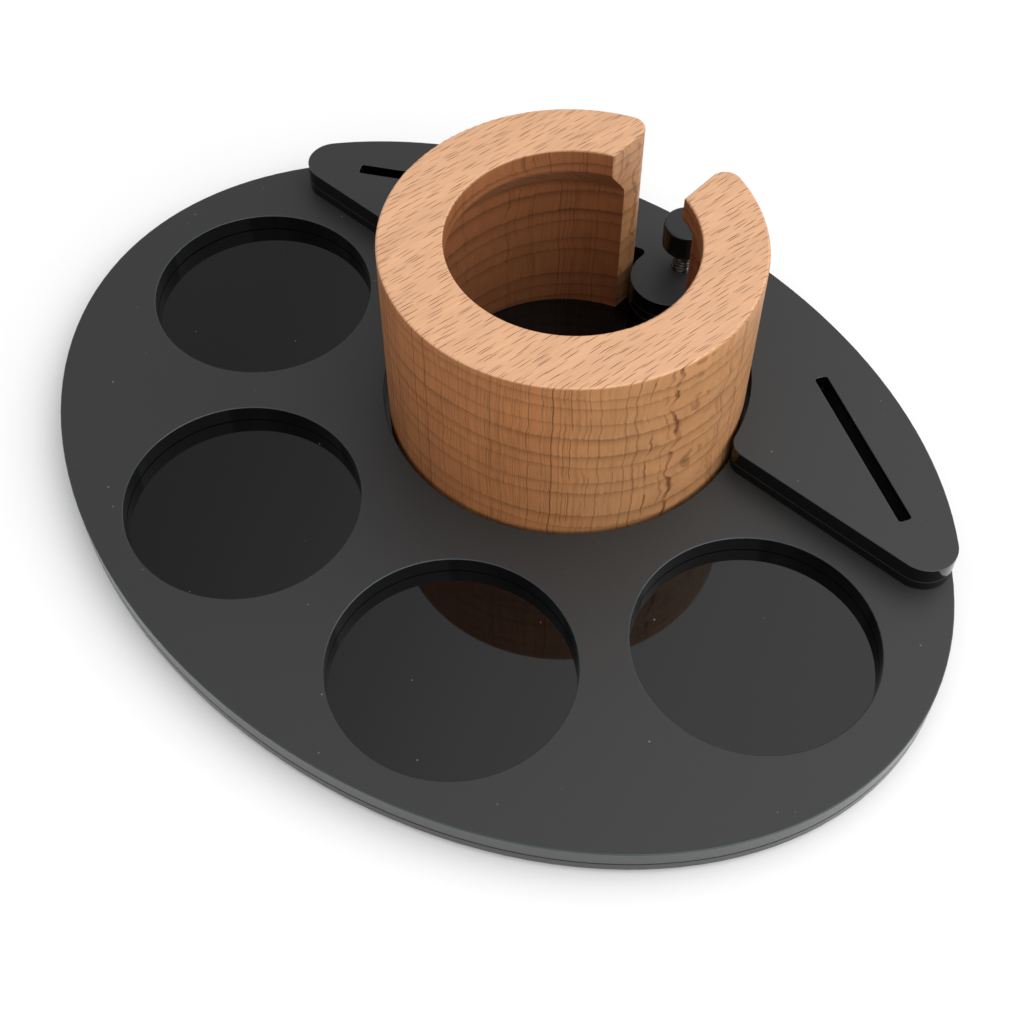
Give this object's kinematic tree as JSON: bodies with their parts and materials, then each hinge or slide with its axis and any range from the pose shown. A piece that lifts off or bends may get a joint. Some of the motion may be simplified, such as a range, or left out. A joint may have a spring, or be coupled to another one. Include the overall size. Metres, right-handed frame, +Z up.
{
  "type": "tool organizer tray with slotted holder ring",
  "caption": "Oval laminated tray with round recesses, a raised slotted deck at the back and an upright wooden holder ring, open at the back, that lifts out of its seat.",
  "frame": {"origin": "under the centre of the oval, on the surface that the feet stand on", "axes": "+X to the right along the oval's long axis, +Y to the back, where the ring's slot points, +Z up"},
  "size_m": [0.2552, 0.1906, 0.064],
  "materials": {
    "tray_acrylic": "gloss",
    "deck_acrylic": "satin",
    "ring_wood": "satin",
    "post_steel": "polished",
    "cap_black": "satin",
    "foot_rubber": "matte"
  },
  "bodies": {
    "tray": {"base_sheet": "tray_acrylic", "tray_sheet": "tray_acrylic", "deck_spacer": "deck_acrylic", "deck_sheet": "deck_acrylic", "post": "post_steel", "post_cap": "cap_black", "foot_1": "foot_rubber", "foot_2": "foot_rubber", "foot_3": "foot_rubber", "foot_4": "foot_rubber"},
    "ring": {"holder_ring": "ring_wood"}
  },
  "joints": [
    {"name": "ring_lift", "type": "slide", "parent": "tray", "child": "ring", "axis": [0, 0, 1], "range_m": [0, 0.08]}
  ]
}
